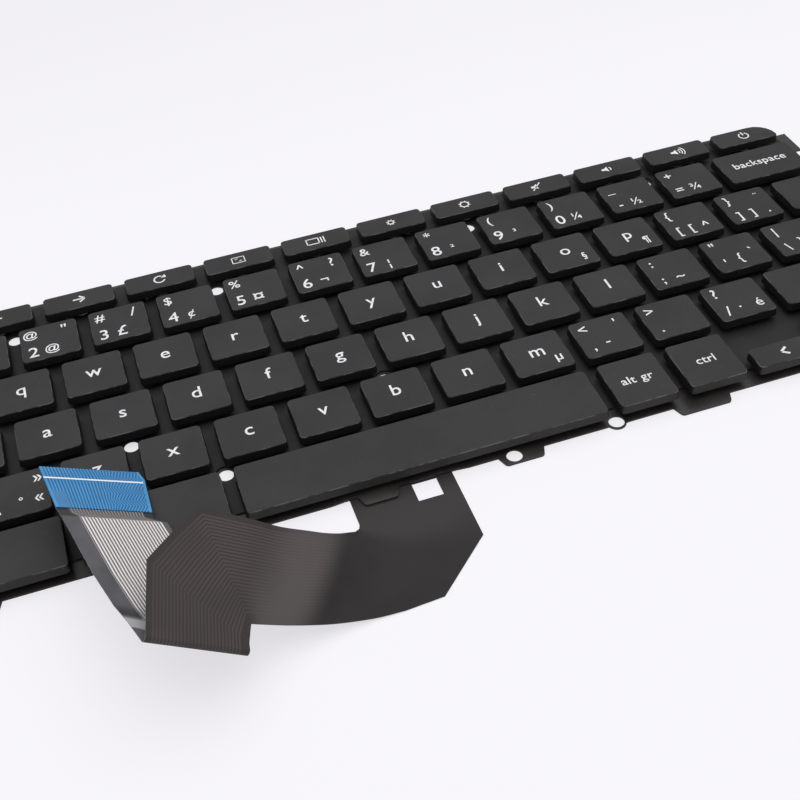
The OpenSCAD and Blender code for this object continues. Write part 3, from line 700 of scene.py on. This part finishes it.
# Signs: a width and the strokes' ends; arcs as middle, radius, start, end, width and steps; filled outlines.
STROKES = {
    "right_arrow": (0.5, [(-0.6, 1.0, 0.7, 0.05), (0.7, -0.05, -0.6, -1.0)]),
    "up_arrow": (0.5, [(-1.1, -0.5, -0.05, 0.7), (0.05, 0.7, 1.1, -0.5)]),
    "forward": (0.4, [(-1.25, 0, 1.05, 0), (0.15, 1.05, 1.25, 0.05), (1.25, -0.05, 0.15, -1.05)]),
    "full_screen": (0.25, [
        (-0.7, 0.2, -0.7, 0.6), (-0.1, 0.55, -0.8, 0.55), (0.7, -0.2, 0.7, -0.6), (0.1, -0.55, 0.8, -0.55),
        (-1.6, -1.2, 1.6, -1.2), (-1.6, 1.2, 1.6, 1.2), (-1.6, -1.3, -1.6, 1.3), (1.6, -1.3, 1.6, 1.3)]),
    "overview": (0.3, [
        (-2.2, -1.1, 0.8, -1.1), (-2.2, 1.1, 0.8, 1.1), (-2.2, -1.2, -2.2, 1.2),
        (0.8, -1.2, 0.8, 1.2), (1.5, -1.2, 1.5, 1.2), (2.2, -1.2, 2.2, 1.2)]),
    "mute": (0.28, [(-1.2, -1.3, 1.2, 1.3)]),
    "power": (0.32, [(0, 0.2, 0, 1.6)]),
    "search": (0.4, [(0.5, -0.5, 1.5, -1.5)]),
    "enter": (0.32, [
        (1.5, 1.2, 1.5, -0.4), (1.6, -0.4, -1.6, -0.4), (-1.7, -0.4, -0.7, 0.5), (-1.7, -0.4, -0.7, -1.3)]),
}
MIRRORED = {"left_arrow": ("right_arrow", -1, 1), "back": ("forward", -1, 1), "down_arrow": ("up_arrow", 1, -1)}
SOUND = [(0, 0, 0.9, -45, 45, 0.26, 8), (0, 0, 1.5, -45, 45, 0.26, 10), (0, 0, 2.1, -45, 45, 0.26, 12)]
ARCS = {
    "refresh": [(0, 0, 1.15, 60, 340)],
    "power": [(0, 0, 1.15, 120, 420)],
    "search": [(-0.3, 0.3, 1.1, 0, 360, 0.34)],
    "quieter": SOUND[:1],
    "louder": SOUND,
}
SPEAKER = [(-1.3, -0.35), (-0.6, -0.35), (0.2, -1.0), (0.2, 1.0), (-0.6, 0.35), (-1.3, 0.35)]
ARROW_HEAD = [(0.35, 0.45), (1.55, 0.35), (1.35, 1.5)]
FILLED = {"refresh": ARROW_HEAD, "mute": SPEAKER, "quieter": SPEAKER, "louder": SPEAKER}
SUNS = {"dimmer": 0.62, "brighter": 0.95}
SUN_RAYS, SUN_W = 8, 0.3
ICON_SIZE = 1.3
ICON_SIZES = {"full_screen": 1.12, "overview": 1.18}


def sun(x, y, r):
    parts = [arc(x, y, r, 0, 360, SUN_W)]
    for k in range(SUN_RAYS):
        a = math.radians(360 / SUN_RAYS * (k + 0.5))
        near, far = ((x + reach * math.cos(a), y + reach * math.sin(a)) for reach in (r + 0.1, r + 0.4))
        parts.append(stroke(near, far, SUN_W))
    return parts


def icon(name, x, y):
    """The printed sign of a key that has no letter."""
    twin, sx, sy = MIRRORED.get(name, (name, 1, 1))
    width, lines = STROKES.get(twin, (0, []))
    parts = [arc(x + dx, y + dy, *rest) for dx, dy, *rest in ARCS.get(name, [])]
    if name in FILLED:
        parts.append(slab([(x + dx, y + dy) for dx, dy in FILLED[name]]))
    if name in SUNS:
        parts += sun(x, y, SUNS[name])
    return parts + [stroke((x + sx * a, y + sy * b), (x + sx * c, y + sy * d), width) for a, b, c, d in lines]


def scaled(part, x, y, size):
    points, faces = part
    return [(x + (px - x) * size, y + (py - y) * size, pz) for px, py, pz in points], faces


def text_size(name, text):
    if len(text) > 1:
        return LONG_WORD if len(text) > 7 else WORD
    if text in CHARACTER_SIZES:
        return SMALL * CHARACTER_SIZES[text]
    return LETTER if text == name else SMALL


def make_legends():
    for name, (x, y, _, _) in KEYS.items():
        parts = [scaled(part, x, y, ICON_SIZES.get(name, ICON_SIZE)) for part in icon(name, x, y)]
        if name == "escape":
            parts = [set_glyph("esc", ESCAPE_WORD, x, y)]
        for text, dx, dy in LEGENDS.get(name, []):
            parts.append(set_glyph(text, text_size(name, text), x + dx, y + dy))
        if parts:
            mesh_piece("legend_" + name, *gather(parts), body_of_key(name), "key_black", INK, smooth=0)


make_legends()


# Domes, scissors and bars.
def dome_profile(half):
    """A dome's wall as (radius, height): inner foot, outside, crown, and back inside."""
    foot, waist, crown = (2.3, 1.1, 0.9) if half else (2.8, 2.5, 1.5)
    rise = 2.45
    wall = [(waist - 0.3, 0), (foot, 0), (foot, 0.2), (foot - 0.06, 0.25), (waist + 0.1, 0.27)]
    wall += [(waist + (crown - waist) * t, 0.3 + (rise - 0.5) * t ** 0.9) for t in (0.1, 0.3, 0.55, 0.8, 1.0)]
    wall += [(crown - 0.03, rise - 0.06), (crown - 0.12, rise), (0, rise)]
    wall += [(0, rise - 0.4), (crown - 0.5, rise - 0.45), (crown - 0.4, rise - 0.65), (waist - 0.45, 0.3)]
    return [(r, FILM_TOP + z) for r, z in wall]


def unit_mesh(name, parts, material):
    return put(name, plain_mesh(name, *gather(parts), [material]))


def tilted(part, tilt):
    c, s = math.cos(tilt), math.sin(tilt)
    points, faces = part
    return [(x, y * c - z * s, SCISSOR_Z + y * s + z * c) for x, y, z in points], faces


def scissor_parts(half):
    """The outer and the inner frame round their pivot, in the rest position."""
    wide, leg = (2.45, 0.55) if half else (6.0, 0.9)
    t, between = 0.35, 0.15
    parts = []
    for reach, tilt, side in ((OUTER_REACH, OUTER_TILT, wide), (INNER_REACH, -INNER_TILT, wide - leg - between)):
        end = reach / 2
        for s in (-1, 1):
            x0, x1 = sorted((s * side, s * (side - leg)))
            parts.append(tilted(brick(x0, x1, -end - t, end + t, -t, t), tilt))
            y0, y1 = sorted((s * (end - t), s * (end + t)))
            parts.append(tilted(brick(-side + leg, side - leg, y0, y1, -t * 0.98, t * 0.98), tilt))
    return parts


def support_tree(unit, material):
    """Geometry nodes that set a unit on each point, turned by the point's own angle."""
    tree = bpy.data.node_groups.new("set_on_stations", "GeometryNodeTree")
    tree.interface.new_socket("Geometry", in_out="INPUT", socket_type="NodeSocketGeometry")
    tree.interface.new_socket("Unit", in_out="INPUT", socket_type="NodeSocketObject")
    tree.interface.new_socket("Geometry", in_out="OUTPUT", socket_type="NodeSocketGeometry")
    new = tree.nodes.new
    group_in, group_out = new("NodeGroupInput"), new("NodeGroupOutput")
    info, on_points, real = (
        new("GeometryNodeObjectInfo"), new("GeometryNodeInstanceOnPoints"), new("GeometryNodeRealizeInstances"))
    paint, turn, spin = (
        new("GeometryNodeSetMaterial"), new("GeometryNodeInputNamedAttribute"), new("ShaderNodeCombineXYZ"))
    turn.data_type = "FLOAT"
    turn.inputs["Name"].default_value = "turn"
    paint.inputs["Material"].default_value = material
    link = tree.links.new
    link(group_in.outputs["Unit"], info.inputs["Object"])
    link(group_in.outputs["Geometry"], on_points.inputs["Points"])
    link(info.outputs["Geometry"], on_points.inputs["Instance"])
    link(turn.outputs["Attribute"], spin.inputs["Z"])
    link(spin.outputs[0], on_points.inputs["Rotation"])
    link(on_points.outputs["Instances"], real.inputs["Geometry"])
    link(real.outputs["Geometry"], paint.inputs["Geometry"])
    link(paint.outputs["Geometry"], group_out.inputs["Geometry"])
    return tree


def scatter(name, tree, unit, places, half, body, smooth):
    """Copies of a unit on its stations, as one plain mesh."""
    mesh = plain_mesh(name, [(x, y, 0) for x, y in places], [])
    turn = mesh.attributes.new("turn", "FLOAT", "POINT")
    turn.data.foreach_set("value", [math.copysign(math.pi / 2, x) if half else 0.0 for x, _ in places])
    holder = put(name, mesh)
    modifier = holder.modifiers.new("stations", "NODES")
    modifier.node_group = tree
    socket = next(i for i in tree.interface.items_tree if i.name == "Unit" and i.in_out == "INPUT")
    modifier[socket.identifier] = unit
    plain = as_built(holder)
    plain.name = name
    bpy.data.objects.remove(holder)
    bpy.data.meshes.remove(mesh)
    return place_piece(name, plain, body, smooth)


SCISSOR_NODES = ["scissor_outer_frames", "scissor_inner_frames"]


def make_support(kind, tree, unit, half, nodes, smooth):
    """One piece of this kind for all the still keys, and one for each moving key."""
    still = []
    for name, (x, y, _, _) in KEYS.items():
        if name == "enter_foot" or is_half(name) != half or (kind == "scissor" and name == "alt_gr"):
            continue
        places = [(x, y)] if kind == "dome" else stations(name)
        if name not in JOINTED:
            still += places
            continue
        piece = scatter(f"{kind}_{name}", tree, unit, places, half, "keyboard_base", smooth)
        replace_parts(piece, *nodes)
        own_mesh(piece)
    if still:
        name = f"{kind}s_{'narrow' if half else 'wide'}"
        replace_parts(scatter(name, tree, unit, still, half, "keyboard_base", smooth), *nodes)
    bpy.data.objects.remove(unit)


def make_supports():
    for half in (False, True):
        dome = unit_mesh("dome_unit", [lathe(0, 0, dome_profile(half), 24, True)], DOME)
        make_support("dome", support_tree(dome, DOME), dome, half, ["rubber_domes"], 40)
        scissor = unit_mesh("scissor_unit", scissor_parts(half), SCISSOR)
        tree = support_tree(scissor, SCISSOR)
        make_support("scissor", tree, scissor, half, SCISSOR_NODES, 0)


make_supports()

# Bars: wire radius and bend, length of the feet, and where the feet and the long line lie.
BAR_R, BAR_BEND, BAR_FOOT_L, BAR_END = 0.3, 0.9, 1.6, 2.6
BAR_LINE, BAR_FOOT = -(INNER_HALF + FIN_SLACK + FIN_T + CAP_D / 2 - CAP_WALL) / 2, 1.0
BAR_HIGH_Z, BAR_FOOT_Z = ROOF - 0.35, FILM_TOP + 0.45


def bent_rod(path, radius, bend, steps=12, turns=5):
    """A round wire along a path of points, with each inner corner rounded."""
    path = [Vector(p) for p in path]
    line = [path[0]]
    for before, at, after in zip(path, path[1:], path[2:]):
        a, b = (before - at).normalized(), (after - at).normalized()
        for k in range(turns + 1):
            t = k / turns
            line.append((at + a * bend) * (1 - t) ** 2 + at * 2 * t * (1 - t) + (at + b * bend) * t * t)
    line.append(path[-1])
    side = (path[1] - path[0]).cross(path[2] - path[1]).normalized()
    ring = [2 * math.pi * k / steps for k in range(steps)]
    points, rows = [], []
    for i, p in enumerate(line):
        along = (line[min(i + 1, len(line) - 1)] - line[max(i - 1, 0)]).normalized()
        up = side.cross(along).normalized()
        other = along.cross(up).normalized()
        rows.append(range(len(points), len(points) + steps))
        points += [tuple(p + radius * (math.cos(a) * up + math.sin(a) * other)) for a in ring]
    faces = [tuple(reversed(rows[0])), tuple(rows[-1])]
    for low, high in zip(rows, rows[1:]):
        faces += [(low[k], low[(k + 1) % steps], high[(k + 1) % steps], high[k]) for k in range(steps)]
    return points, faces


def make_bars():
    """A steel wire under each long key, with its feet in the plate's hooks."""
    still = []
    for name, (x, y, width, _) in KEYS.items():
        if is_half(name) or width <= LONG_KEY_ABOVE:
            continue
        h = width / 2 - BAR_END
        right = [(h, BAR_LINE, BAR_HIGH_Z), (h, BAR_FOOT, BAR_FOOT_Z), (h - 2 * BAR_FOOT_L, BAR_FOOT, BAR_FOOT_Z)]
        path = [(-px, py, pz) for px, py, pz in reversed(right)] + right
        rod = bent_rod([(px + x, py + y, pz) for px, py, pz in path], BAR_R, BAR_BEND)
        if name in JOINTED:
            piece = mesh_piece("bar_" + name, *rod, "keyboard_base", "bar_steel", STEEL, 50)
            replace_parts(piece, "stabiliser_bars")
            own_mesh(piece)
        else:
            still.append(rod)
    bars = mesh_piece("bars_still", *gather(still), "keyboard_base", "bar_steel", STEEL, 50)
    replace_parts(bars, "stabiliser_bars")


make_bars()


# The tail: thicknesses, and its stations as pairs of points on its two edges.
TAIL_T, STIFF_T, GLUE_T = 0.15, 0.25, 0.03
FLAT_Z, LAY_Z = 0.575, 0.15
LEFT, RIGHT = -30.2, -4.65
SLOT_BACK, SLOT_FRONT = BOTTOM_Y - 3.4, BOTTOM_Y - 5.6
ARM_BACK, ARM_FRONT = FRONT - 9.5, FRONT - 35.1
CREASE_LEFT, CREASE_RIGHT = Vector((-81.1, FRONT - 42.3, 25.0)), Vector((-62.5, FRONT - 42.3, 11.3))

ROOT = [
    ((LEFT, SLOT_BACK, FLAT_Z), (RIGHT, SLOT_BACK, FLAT_Z)),
    ((LEFT, SLOT_BACK - 0.25, FLAT_Z), (RIGHT, SLOT_BACK - 0.25, FLAT_Z)),
    ((LEFT, SLOT_FRONT + 0.25, LAY_Z), (RIGHT, SLOT_FRONT + 0.25, LAY_Z)),
    ((LEFT, FRONT - 4.5, LAY_Z), (RIGHT, FRONT - 7.6, LAY_Z)),
    ((LEFT, ARM_BACK + 1.6, LAY_Z), (RIGHT, FRONT - 21, LAY_Z)),
    ((LEFT - 0.4, ARM_BACK + 0.5, LAY_Z), (-18.7, ARM_FRONT + 0.6, LAY_Z)),
    ((LEFT - 1.5, ARM_BACK, LAY_Z), (-27.9, ARM_FRONT, LAY_Z)),
]
ARM = [
    ((-33.0, ARM_BACK, 0.5), (-33.4, ARM_FRONT, 0.5)),
    ((-35.6, ARM_BACK, 1.2), (-37.2, ARM_FRONT, 1.2)),
    ((-38.9, ARM_BACK, 2.8), (-41.9, ARM_FRONT, 2.4)),
    ((-42.2, ARM_BACK, 4.9), (-46.4, ARM_FRONT, 3.95)),
    ((-48.4, ARM_BACK, 8.9), (-53.0, ARM_FRONT, 6.9)),
    ((-54.4, ARM_BACK, 14.0), (-58.6, ARM_FRONT, 9.9)),
    ((-64.6, ARM_BACK, 22.0), (-60.7, ARM_FRONT, 11.1)),
]
CORNER = [
    ((-71.3, FRONT - 17.2, 25.0), (-61.4, FRONT - 37.2, 11.1)),
    ((-77.4, FRONT - 24.9, 27.6), (-62.2, FRONT - 40.0, 11.4)),
]


TIP, TIP_SLOPE = (-96.85, FRONT + 22.7, 15.6), (-0.4857, -0.14)


def on_end_plane(a, b):
    """Two points on the blue end's plane, which falls away from the tip's left corner."""
    return [(x, y, TIP[2] + TIP_SLOPE[0] * (x - TIP[0]) + TIP_SLOPE[1] * (y - TIP[1])) for x, y in (a, b)]


TONGUE = [
    ((-83.9, FRONT - 35.2, 23.0), (-64.0, FRONT - 35.2, 10.0)),
    ((-85.9, FRONT - 29.6, 22.2), (-65.2, FRONT - 29.3, 9.6)),
    ((-89.0, FRONT - 17.8, 20.5), (-67.6, FRONT - 18.3, 8.8)),
    ((-93.6, FRONT + 4.1, 17.0), (-72.1, FRONT + 2.7, 7.2)),
    ((-94.0, FRONT + 5.6, 16.85), (-74.8, FRONT + 5.2, 7.3)),
    on_end_plane((-94.5, FRONT + 7.4), (-74.9, FRONT + 7.0)),
    on_end_plane((-96.4, FRONT + 19.7), (-74.9, FRONT + 19.7)),
    on_end_plane((-96.85, FRONT + 22.7), (-75.85, FRONT + 22.7)),
]
FOLD_R, FOLD_ANGLE, FOLD_STEPS = 0.9, 154, 10
FOLD_OUT = Vector((-0.137, -0.973, -0.186)).normalized()


def fold_stations():
    """The film's turn round its crease."""
    crease = (CREASE_LEFT - CREASE_RIGHT).normalized()
    under = FOLD_OUT.cross(crease).normalized()

    def at(p, a):
        return p - FOLD_R * FOLD_OUT + FOLD_R * ((1 - math.cos(a)) * under + math.sin(a) * FOLD_OUT)

    turn = [math.radians(FOLD_ANGLE * k / FOLD_STEPS) for k in range(FOLD_STEPS + 1)]
    return [(at(CREASE_LEFT, a), at(CREASE_RIGHT, a)) for a in turn]


def smooth_between(rows, each):
    """More stations between the given ones, on a smooth curve through them."""
    made = []
    for i in range(len(rows) - 1):
        near = (rows[max(i - 1, 0)], rows[i], rows[i + 1], rows[min(i + 2, len(rows) - 1)])
        for k in range(each):
            t = k / each
            pair = []
            for side in (0, 1):
                p0, p1, p2, p3 = (Vector(row[side]) for row in near)
                bow, twist = 2 * p0 - 5 * p1 + 4 * p2 - p3, 3 * p1 - p0 - 3 * p2 + p3
                pair.append(0.5 * (2 * p1 + (p2 - p0) * t + bow * t * t + twist * t ** 3))
            made.append(tuple(pair))
    return made + [tuple(Vector(p) for p in rows[-1])]


def straight_between(rows, each):
    made = []
    for a, b in zip(rows, rows[1:]):
        made += [tuple(Vector(a[s]).lerp(Vector(b[s]), k / each) for s in (0, 1)) for k in range(each)]
    return made + [tuple(Vector(p) for p in rows[-1])]


root_line = straight_between(ROOT, 2)
arm_line = smooth_between([ROOT[-1], *ARM], 4)[1:]
corner_line = straight_between([ARM[-1], *CORNER], 4)[1:]
fold_line = fold_stations()
tongue_line = straight_between(TONGUE[:4], 4) + straight_between(TONGUE[4:], 4)
TAIL = root_line + arm_line + corner_line + fold_line + tongue_line


def run_lengths(rows):
    """Distance along the ribbon's middle at each station, in units of 100 mm."""
    at, made = 0.0, [0.0]
    for a, b in zip(rows, rows[1:]):
        at += ((a[0] + a[1]) / 2 - (b[0] + b[1]) / 2).length / 100
        made.append(at)
    return made


# Places along the tail, in the units of RUN: the fold, the traces' jog and the marks of the blue end.
RUN = run_lengths(TAIL)
STIFF_FIRST = len(TAIL) - 9
FOLD_V = RUN[len(TAIL) - len(tongue_line) - FOLD_STEPS // 2 - 1]
JOG_V = (RUN[STIFF_FIRST] - 0.045, RUN[STIFF_FIRST] - 0.012)
WHITE_LINE_V, BLANK_END_V = RUN[-1] - 0.043, RUN[STIFF_FIRST] + 0.064


def normal_at(i):
    a, b = TAIL[max(i - 1, 0)], TAIL[min(i + 1, len(TAIL) - 1)]
    along = (b[0] + b[1]) / 2 - (a[0] + a[1]) / 2
    return along.cross(TAIL[i][1] - TAIL[i][0]).normalized()


def ribbon(name, first, low, high, materials, across=10):
    """The film from a station to its tip: its low side, its high side and its rim are three finishes."""
    points, uvs = [], []
    rows = TAIL[first:]
    for side in (low, high):
        for i, (a, b) in enumerate(rows):
            n = normal_at(first + i)
            for k in range(across + 1):
                points.append(tuple(a.lerp(b, k / across) + n * side))
                uvs.append((k / across, RUN[first + i]))
    wide, layer = across + 1, len(rows) * (across + 1)
    faces, kinds = [], []
    for i in range(len(rows) - 1):
        for k in range(across):
            a = i * wide + k
            b = a + layer
            faces += [(a, a + 1, a + 1 + wide, a + wide), (b, b + wide, b + wide + 1, b + 1)]
            kinds += [0, 1]
        for a, order in ((i * wide, 1), (i * wide + across, -1)):
            faces.append((a, a + wide, a + wide + layer, a + layer)[::order])
            kinds.append(2)
    for row, order in ((0, 1), ((len(rows) - 1) * wide, -1)):
        for a in range(row, row + across):
            faces.append((a, a + layer, a + layer + 1, a + 1)[::order])
            kinds.append(2)
    mesh = plain_mesh(name, points, faces, materials)
    mesh.polygons.foreach_set("material_index", kinds)
    layer_uv = mesh.uv_layers.new(name="ribbon")
    for loop in mesh.loops:
        layer_uv.data[loop.index].uv = uvs[loop.vertex_index]
    mesh.update()
    return mesh


def cut_box(mesh, box):
    """Takes a box out of a closed mesh."""
    cutter = put("cutter", plain_mesh("cutter", *brick(*box)))
    holder = put("cut", mesh)
    modifier = holder.modifiers.new("window", "BOOLEAN")
    modifier.operation, modifier.solver, modifier.object = "DIFFERENCE", "EXACT", cutter
    made = as_built(holder)
    for o in (cutter, holder):
        bpy.data.objects.remove(o)
    return made


WINDOW = (-15.0, -8.8, FRONT - 5.9, FRONT - 0.3, -1, 1)


def make_tail():
    film = ribbon("membrane_tail_film", 0, -TAIL_T / 2, TAIL_T / 2, [tail_light(), tail_dark(), film_edge()])
    tail = place_piece("tail_film", cut_box(film, WINDOW), "keyboard_base", 45)
    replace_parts(tail, "membrane_tail")
    glued = -TAIL_T / 2 - GLUE_T
    mesh = ribbon("tail_end", STIFF_FIRST, glued - STIFF_T, glued, [stiffener_blue()] * 3)
    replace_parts(place_piece("tail_end", mesh, "keyboard_base", 45), "tail_stiffener")


make_tail()

# The nodes that stay as the CAD's own solids.
STAYS = {
    "base_plate": PAINT,
    "lower_circuit_film": circuit_film("lower_film", (0.02, 0.019, 0.019), (0.03, 0.028, 0.028), 0.4),
    "spacer_film": circuit_film("spacer_film", (0.012, 0.012, 0.012), (0.02, 0.02, 0.02), 0.5),
    "upper_circuit_film": circuit_film("upper_film", (0.012, 0.0115, 0.0115), (0.019, 0.018, 0.018), 0.6),
    "alt_gr_outer_frame": SCISSOR,
    "alt_gr_inner_frame": SCISSOR,
}
for node, material in STAYS.items():
    solid = frame["nodes"][node]
    solid.data.materials.clear()
    solid.data.materials.append(material)


# Table and light. The table carries painted shade behind the plate's hook windows: a dark band in each row's
# pitch.
PALE_SHARE = 0.7
BAND_FRONT, BAND_SHARE, BANDS_X, BANDS_Y = BOTTOM_Y - 5.62, 0.106, 0.137, 0.0505
NEAR_GLOW, FAR_GLOW = (0.945, 0.93, 0.96), (0.84, 0.825, 0.85)
TABLE_HALF, TABLE_Z = 3, -0.00003
LAMP_PLACE, LAMP_SIZE, LAMP_POWER = Vector((0.1, 0.25, 1.5)), 2.4, 26.0


def table_top():
    """Grey-white paper that shows pale to the camera, and nothing from below; painted shade darkens it in bands
    behind the plate's hook windows.
    """
    f = Finish("table_top", Roughness=0.7, Specular_IOR_Level=0.2)
    cloud = f.noise(4, 2.0)
    seen = f.node("ShaderNodeLightPath", out="Is Camera Ray")
    x, y, _ = f.axes(f.place())
    # Painted shade: a dark band behind the hook windows under the plate, with no pale glow there.
    band = ((y / MM - BAND_FRONT) / ROW).fract().below(BAND_SHARE)
    shaded = band * x.distance(0.0).below(BANDS_X) * y.distance(0.0).below(BANDS_Y)
    paper = f.mix(cloud, (0.80, 0.79, 0.82), (0.84, 0.83, 0.86))
    f.set("Base Color", f.mix(shaded, paper, (0.03, 0.03, 0.03)))
    glow = f.node("ShaderNodeEmission", {}, f.mix(y.ramp(0.0, 0.32), NEAR_GLOW, FAR_GLOW), 1.0)
    lit = Value(f, f.shader.outputs[0])
    above = f.node("ShaderNodeMixShader", {}, seen * PALE_SHARE * (1 - shaded), lit, glow)
    from_below = f.node("ShaderNodeNewGeometry", out="Backfacing")
    clear = f.node("ShaderNodeBsdfTransparent")
    whole = f.node("ShaderNodeMixShader", {}, seen * from_below, above, clear)
    f.links.new(whole.socket, f.nodes["Material Output"].inputs["Surface"])
    return f.material


def make_table():
    corners = [(sx * TABLE_HALF, sy * TABLE_HALF, TABLE_Z) for sx, sy in ((-1, -1), (1, -1), (1, 1), (-1, 1))]
    mesh = bpy.data.meshes.new("table_top")
    mesh.from_pydata(corners, [], [(0, 1, 2, 3)])
    mesh.materials.append(table_top())
    table = put("table_top", mesh)


def make_room():
    """A soft white room that is pale grey to the camera."""
    world = bpy.data.worlds.new("room")
    bpy.context.scene.world = world
    world.use_nodes = True
    nodes, links = world.node_tree.nodes, world.node_tree.links
    background = nodes["Background"]
    background.inputs["Color"].default_value = (0.97, 0.97, 1.0, 1)
    background.inputs["Strength"].default_value = 0.55
    pale = nodes.new("ShaderNodeBackground")
    pale.inputs["Color"].default_value = (*FAR_GLOW, 1)
    path, either = nodes.new("ShaderNodeLightPath"), nodes.new("ShaderNodeMixShader")
    links.new(path.outputs["Is Camera Ray"], either.inputs[0])
    links.new(background.outputs[0], either.inputs[1])
    links.new(pale.outputs[0], either.inputs[2])
    links.new(either.outputs[0], nodes["World Output"].inputs["Surface"])


def make_lamp():
    data = bpy.data.lights.new("overhead_light", "AREA")
    data.shape, data.size, data.energy = "SQUARE", LAMP_SIZE, LAMP_POWER
    lamp = put("overhead_light", data)
    lamp.location = LAMP_PLACE
    lamp.rotation_euler = (-LAMP_PLACE).to_track_quat("-Z", "Y").to_euler()


make_table()
make_room()
make_lamp()
bpy.context.scene.view_settings.view_transform = "Standard"
